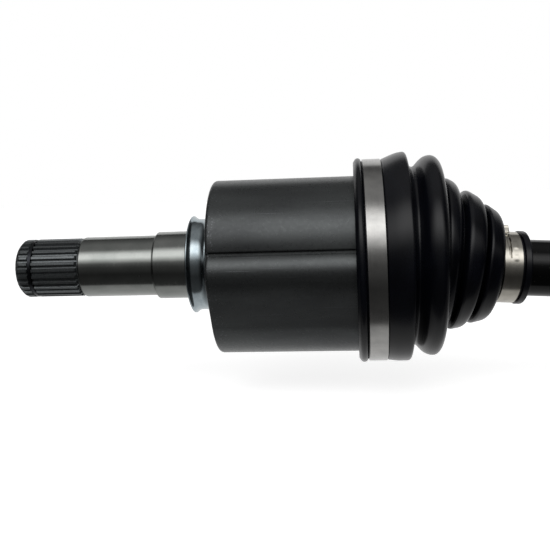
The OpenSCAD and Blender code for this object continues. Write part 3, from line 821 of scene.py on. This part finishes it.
def bar_end(side, joint):
    """Corners of one end of the bar, from its tip inwards, about the joint's centre."""
    tip = 16.0
    groove = 13.0
    return [
        (joint + side * tip, 0.4),
        (joint + side * tip, BAR_SPLINE_R - 1, 0.2),
        (joint + side * (tip - 1), BAR_SPLINE_R, 0.3),
        (joint + side * (groove + 1.5), BAR_SPLINE_R),
        (joint + side * (groove + 1.5), SNAP_GROOVE_R),
        (joint + side * groove, SNAP_GROOVE_R),
        (joint + side * groove, BAR_SPLINE_R),
        (joint - side * groove, BAR_SPLINE_R),
        (joint - side * groove, SNAP_GROOVE_R),
        (joint - side * (groove + 1.5), SNAP_GROOVE_R),
        (joint - side * (groove + 1.5), BAR_SPLINE_R),
        (joint - side * (groove + 5), BAR_SPLINE_R, 0.8),
        (joint - side * (groove + 7), BAR_NECK_R, 0.8),
    ]


bar_outline = rounded(
    bar_end(-1, 0.0)
    + [(INNER_SEAT - 7, BAR_NECK_R, 3), (INNER_SEAT, BAR_R, 3)]
    + [(OUTER_SEAT, BAR_R, 3), (OUTER_SEAT + 7, BAR_NECK_R, 3)]
    + bar_end(1, JOINT_SPACING)[::-1]
)


def gloss_paint():
    """Gloss black stoved paint: deep black and mirror-like, with orange peel about 2.5 mm
    across and specks of dust, 0.5 mm wide, that the coat picked up."""
    material, tree, shader = finish_of("stoved_black_paint", Metallic=0.0, IOR=1.5,
                                       Specular_IOR_Level=0.25)
    peel = grain(tree, 2.5, 2.5, 1.0)
    dust = grain(tree, 0.5, 0.5, 1.0)
    specks = between(tree, dust, 0.76, 0.80, 0.0, 1.0)
    tree.links.new(blend_colours(tree, specks, "#070708", "#6e6a62"), shader.inputs["Base Color"])
    tree.links.new(between(tree, specks, 0.0, 1.0, 0.08, 0.45), shader.inputs["Roughness"])
    relief(tree, shader, peel, 0.01, 0.3)
    return material


bar = skin("axle_bar", turned(bar_outline, 120))
bar.matrix_world = bar_frame(0)
finished(bar, gloss_paint(), "axle")
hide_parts("axle_shaft")

# ---- Ball joint: race, cage, balls ----------------------------------------------------------
# The outer joint's inner race sits on the bar's spline between snap rings, and a caged ring of
# six balls runs in its tracks. All are bearing steel, and their CAD shapes are right.

paint_nodes(["inner_race", "ball_cage"] + [f"ball_{number + 1}" for number in range(6)], polished)
paint_nodes(["race_snap_rings"], sprung_wire)

# ---- Outer bell -----------------------------------------------------------------------------
# The forged and turned bell of the wheel-side joint, with six ball tracks ground inside. Its
# outside is left dark, with turning rings and the cloudy scale of the forging.

MOUTH = -20.0
SEAT_R = 44.0
SEAT_RIGHT = -3.8
BELL_R = 46.0
BELL_PARALLEL = 14.0
BELL_BACK = 36.0
BELL_BACK_R = 30.0
HUB_FACE = 42.0
HUB_FACE_R = 27.5
BELL_MOUTH_R = 36.0
BELL_THROAT_R = 32.0
FLARE_START = -9.0
SPHERE_R = 33.3
SPHERE_END = 25.9
BALLS = 6
BALL_PITCH_R = 30.0
BALL_TRACK_R = 10.9
TRACK_HALVINGS = 16

bell_outside = rounded([
    (HUB_FACE, 5.0),
    (HUB_FACE, HUB_FACE_R, 0.8),
    (BELL_BACK + 1, HUB_FACE_R, 0.8),
    (BELL_BACK, BELL_BACK_R, 1.5),
    (BELL_PARALLEL, BELL_R, 6.0),
    (SEAT_RIGHT + 0.8, BELL_R, 0.7),
    (SEAT_RIGHT, SEAT_R, 0.5),
    (MOUTH, SEAT_R, 0.9),
    (MOUTH, BELL_MOUTH_R),
])
bell_inside = [(MOUTH, BELL_MOUTH_R)]
bell_inside += [(x, SPHERE_R) for x in in_plain_steps(MOUTH + 2, SPHERE_END, 1.5)]


def bell_hollow(x, r, turn):
    """Radius of the bell's hollow: a sphere, opened to the mouth and by the six ball tracks."""
    cavity = math.sqrt(SPHERE_R ** 2 - x ** 2)
    if x < 0:
        opened = max(0, FLARE_START - x) / (FLARE_START - MOUTH)
        cavity = max(cavity, BELL_THROAT_R + (BELL_MOUTH_R - BELL_THROAT_R) * opened)
    off = ((turn * BALLS + 0.5) % 1 - 0.5) * math.tau / BALLS
    low = cavity
    high = BALL_PITCH_R + BALL_TRACK_R + 1
    if not in_track(x, low, off):
        return low
    for _ in range(TRACK_HALVINGS):
        half = (low + high) / 2
        low, high = (half, high) if in_track(x, half, off) else (low, half)
    return low


def in_track(x, r, off):
    """True if a point is inside a ball track, off radians beside the track's plane."""
    bow = math.hypot(x, r * math.cos(off)) - BALL_PITCH_R
    return math.hypot(bow, r * math.sin(off)) < BALL_TRACK_R


def forged_steel():
    """Turned forging under protective oil: dark grey, with turning rings drawn 0.8 mm apart and
    the cloudy scale of the forging, about 8 mm across."""
    material, tree, shader = finish_of("turned_forged_steel", Metallic=1.0)
    rings = grain(tree, 0.8, 50.0, 3.0)
    scale = grain(tree, 8.0, 8.0, 4.0)
    colour = blend_colours(tree, between(tree, scale, 0.3, 0.7, 0.0, 1.0), "#4c4d50", "#636568")
    tree.links.new(colour, shader.inputs["Base Color"])
    tree.links.new(between(tree, rings, 0.3, 0.7, 0.3, 0.42), shader.inputs["Roughness"])
    relief(tree, shader, rings, 0.015, 0.5)
    return material


turned_forging = forged_steel()
bell = skin("outer_bell", turned(bell_outside, 240) + turned(bell_inside[1:], 240, bell_hollow))
bell.matrix_world = bar_frame(JOINT_SPACING)
finished(bell, turned_forging, "outer_joint")
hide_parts("outer_housing")

# ---- Outer spline and thread ----------------------------------------------------------------
# The stub that carries the wheel hub: rolled teeth, then a rolled fine thread for the axle nut,
# in one piece with the bell.

HUB_SPLINE_R = 14.0
HUB_ROOT_R = 12.9
HUB_RELIEF_R = 12.2
HUB_TEETH = 26
HUB_SPLINE_LEFT = 45.0
HUB_SPLINE_RIGHT = 89.0
THREAD_LEFT = 90.5
THREAD_RIGHT = 115.5
THREAD_R = 12.0
THREAD_PITCH = 1.5
THREAD_DEPTH = 0.85

hub_outline = rounded([
    (HUB_FACE - 1, HUB_RELIEF_R),
    (HUB_SPLINE_LEFT, HUB_RELIEF_R),
    (HUB_SPLINE_LEFT + 1.6, HUB_SPLINE_R + 0.1, 0.4),
    (HUB_SPLINE_RIGHT - 1.6, HUB_SPLINE_R + 0.1, 0.4),
    (HUB_SPLINE_RIGHT, HUB_RELIEF_R),
    (HUB_SPLINE_RIGHT + 0.3, THREAD_R - 1.2),
    (THREAD_LEFT, THREAD_R - 1.2),
])
hub_outline += [(x, THREAD_R) for x in in_plain_steps(THREAD_LEFT + 0.3, THREAD_RIGHT - 1.2, 0.25)]
hub_outline += rounded([
    (THREAD_RIGHT - 1.1, THREAD_R - 0.9),
    (THREAD_RIGHT, THREAD_R - 1.6, 0.3),
    (THREAD_RIGHT, CENTRE_HOLE_R, 0.4),
    (THREAD_RIGHT - 7, 0.4),
])


def hub_shape(x, r, turn):
    """The turned outline with its teeth and its thread."""
    if HUB_SPLINE_LEFT < x <= HUB_SPLINE_RIGHT:
        return min(r, tooth_r(turn, HUB_TEETH, HUB_SPLINE_R, HUB_ROOT_R))
    if THREAD_LEFT < x < THREAD_RIGHT - 1.15:
        wave = abs((x / THREAD_PITCH - turn) % 1 - 0.5) * 2
        return r - THREAD_DEPTH * min(1, wave * 1.15)
    return r


hub_stub = skin("outer_stub", turned(hub_outline, HUB_TEETH * SAMPLES_PER_TOOTH, hub_shape))
hub_stub.matrix_world = bar_frame(JOINT_SPACING)
finished(hub_stub, turned_forging, "outer_joint")
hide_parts("outer_housing")

# ---- Outer boot -----------------------------------------------------------------------------
# The moulded bellows of the wheel-side joint, cone-shaped with four folds. It is three skins that
# meet behind its cuff and by its second valley.

OUTER_CUFF_R = 47.0
OUTER_CUFF_IN_R = 44.1
OUTER_LIP_R = 48.25
OUTER_CUFF_END = -21
OUTER_NECK = -92.0

outer_folds = rounded([
    (-4.3, OUTER_LIP_R, 0.8),
    (-7.8, OUTER_LIP_R, 0.5),
    (-7.9, OUTER_CUFF_R),
    (-18.5, OUTER_CUFF_R),
    (-18.8, OUTER_LIP_R, 0.4),
    (-31.0, OUTER_LIP_R, 3.0),
    (-35.0, 44.4, 1.8),
    (-41.5, 47.9, 3.2),
    (-49.0, 33.4, 2.2),
    (-55.5, 40.2, 3.2),
    (-63.0, 25.9, 2.2),
    (-69.5, 33.6, 3.0),
    (-77.0, 20.4, 2.2),
    (-82.2, 27.4, 2.6),
    (-89.0, 18.4, 2.0),
    (OUTER_NECK, NECK_R, 1.0),
    (-103.0, NECK_R),
    (-103.3, NECK_LIP_R, 0.4),
    (-106.1, NECK_LIP_R, 0.9),
    (-106.4, NECK_IN_R + 0.6),
])


def outer_boot_rings(low, high):
    """Rings of the outer boot from x = high down to x = low."""
    outside = [(x, r) for x, r in outer_folds if low < x < high]
    for end in (high, low):
        for (x0, r0), (x1, r1) in zip(outer_folds, outer_folds[1:]):
            if x1 <= end < x0:
                point = (end, r0 + (r1 - r0) * (end - x0) / (x1 - x0))
                outside.insert(0 if end == high else len(outside), point)
    inside = []
    for x, r in reversed(outside):
        if x >= OUTER_CUFF_END:
            inside.append((x, OUTER_CUFF_IN_R))
        elif x <= OUTER_NECK:
            inside.append((x, NECK_IN_R))
        else:
            inside.append((x, r - BOOT_WALL))
    return turned(outside + inside)


outer_spans = [
    ("outer_boot_neck", -109.0, -50.2, "cage", "axle", -50.8, -74.0),
    ("outer_boot_middle", -50.2, -30.0, "outer_boot", "cage", -31.0, -49.5),
    ("outer_boot_cuff", -30.0, -4.2, "outer_joint", "outer_boot", -20.5, -29.5),
]
for name, low, high, near, far, start, end in outer_spans:
    piece = skin(name, outer_boot_rings(low, high), loop=True)
    piece.matrix_world = bar_frame(JOINT_SPACING)
    finished(piece, rubber)
    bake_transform(piece)
    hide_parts("outer_boot")

# ---- Clamp bands on the outer boot ----------------------------------------------------------
# Crimped stainless bands like the inner boot's, one on the bell's seat and one on the bar.

OUTER_BAND_R = 47.1
OUTER_LARGE_LEFT = -17.9
OUTER_SMALL_LEFT = -102.2
OUTER_EAR_ANGLE = 90.0

outer_rings = clamp_rings(OUTER_BAND_R, OUTER_LARGE_LEFT, OUTER_EAR_ANGLE, LARGE_TONGUE, 0.0, 0.0)
outer_large = skin("outer_band_large", outer_rings, loop=True)
outer_large.matrix_world = bar_frame(JOINT_SPACING)
finished(outer_large, satin_band, "outer_joint")
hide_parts("outer_large_clamp")
neck_rings = clamp_rings(SMALL_BAND_R, OUTER_SMALL_LEFT, SMALL_EAR_ANGLE, SMALL_TONGUE, 0.0, 0.0)
outer_small = skin("outer_band_small", neck_rings, loop=True)
outer_small.matrix_world = bar_frame(JOINT_SPACING)
finished(outer_small, bright_band, "axle")
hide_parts("outer_small_clamp")

# ---- Studio ---------------------------------------------------------------------------------
# A pale table that the axle rests on, and a studio tent round it: a long softbox in front and
# above, a white wall behind, a grey table top below, and dark gaps between them.

TABLE_SIZE = 12.0
TABLE_EDGE = TABLE_SIZE / 2
TABLE_GLOW = 0.75

table_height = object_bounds()[0][2]
table_mesh = bpy.data.meshes.new("table")
table_mesh.from_pydata(
    [(-TABLE_EDGE, -TABLE_EDGE, table_height), (TABLE_EDGE, -TABLE_EDGE, table_height),
     (TABLE_EDGE, TABLE_EDGE, table_height), (-TABLE_EDGE, TABLE_EDGE, table_height)],
    [], [(0, 1, 2, 3)])
table = bpy.data.objects.new("table", table_mesh)
bpy.context.collection.objects.link(table)
table.visible_glossy = False
table.visible_diffuse = False
table_material, _, table_shader = finish_of("white_table", Metallic=0.0, Roughness=0.9)
table_shader.inputs["Base Color"].default_value = linear("#f2f2f2")
table_shader.inputs["Emission Color"].default_value = linear("#ffffff")
table_shader.inputs["Emission Strength"].default_value = TABLE_GLOW
table_mesh.materials.append(table_material)

# Brightness of the tent by the angle from the front horizon, up over the top to the back.
TENT = [
    (-180, 0.85), (-130, 0.7), (-90, 0.52), (-74, 0.42), (-69, 0.06), (-25, 0.03), (2, 0.08),
    (16, 0.2), (26, 0.9), (38, 2.0), (52, 1.8), (61, 1.0), (70, 0.3), (96, 0.3), (112, 0.2),
    (135, 0.06), (140, 0.75), (180, 0.85),
]
TENT_PEAK = 2.0
TENT_END_SHARE = 0.12

world = bpy.data.worlds.new("studio")
bpy.context.scene.world = world
world.use_nodes = True
sky = world.node_tree
sky.nodes.clear()
direction = add(sky, "ShaderNodeTexCoord")
parts = add(sky, "ShaderNodeSeparateXYZ", {"Vector": direction.outputs["Generated"]})
front = add(sky, "ShaderNodeMath", {0: parts.outputs[1], 1: -1.0}, operation="MULTIPLY")
angle = add(sky, "ShaderNodeMath", {0: parts.outputs[2], 1: front.outputs[0]}, operation="ARCTAN2")
share = between(sky, angle.outputs[0], -math.pi, math.pi, 0.0, 1.0)
ramp = add(sky, "ShaderNodeValToRGB", {"Fac": share})
for _ in TENT[2:]:
    ramp.color_ramp.elements.new(0.5)
for element, (degrees, brightness) in zip(ramp.color_ramp.elements, TENT):
    element.position = (degrees + 180) / 360
    level = brightness / TENT_PEAK
    element.color = (level, level, level, 1)
sideways = add(sky, "ShaderNodeMath", {0: parts.outputs[0]}, operation="ABSOLUTE")
ends = between(sky, sideways.outputs[0], 0.35, 0.85, TENT_PEAK, TENT_PEAK * TENT_END_SHARE)
tent = add(sky, "ShaderNodeBackground", {"Color": ramp.outputs[0], "Strength": ends})
backdrop = add(sky, "ShaderNodeBackground", {"Color": linear("#ffffff"), "Strength": 1.0})
ray = add(sky, "ShaderNodeLightPath")
seen = add(sky, "ShaderNodeMixShader", {
    0: ray.outputs["Is Camera Ray"], 1: tent.outputs[0], 2: backdrop.outputs[0],
})
add(sky, "ShaderNodeOutputWorld", {"Surface": seen.outputs[0]})
bpy.context.scene.view_settings.view_transform = "Standard"

# ---- Camera ---------------------------------------------------------------------------------
# Close in front of the housing and a little above it, turned slightly left, tipped down and
# rolled.

CAMERA_PLACE = (0.12529, -0.40237, 0.03921)
HEADING = 6.215
TIPPED_DOWN = 6.462
ROLLED = -2.008
LENS_MM = 51.03
SENSOR_MM = 36.0

camera_data = bpy.data.cameras.new("camera")
camera_data.lens = LENS_MM
camera_data.sensor_width = SENSOR_MM
camera = bpy.data.objects.new("camera", camera_data)
bpy.context.collection.objects.link(camera)
heading = Matrix.Rotation(math.radians(HEADING), 4, "Z")
pitch = Matrix.Rotation(math.radians(90 - TIPPED_DOWN), 4, "X")
roll = Matrix.Rotation(math.radians(ROLLED), 4, "Z")
camera.matrix_world = Matrix.Translation(CAMERA_PLACE) @ heading @ pitch @ roll
bpy.context.scene.camera = camera
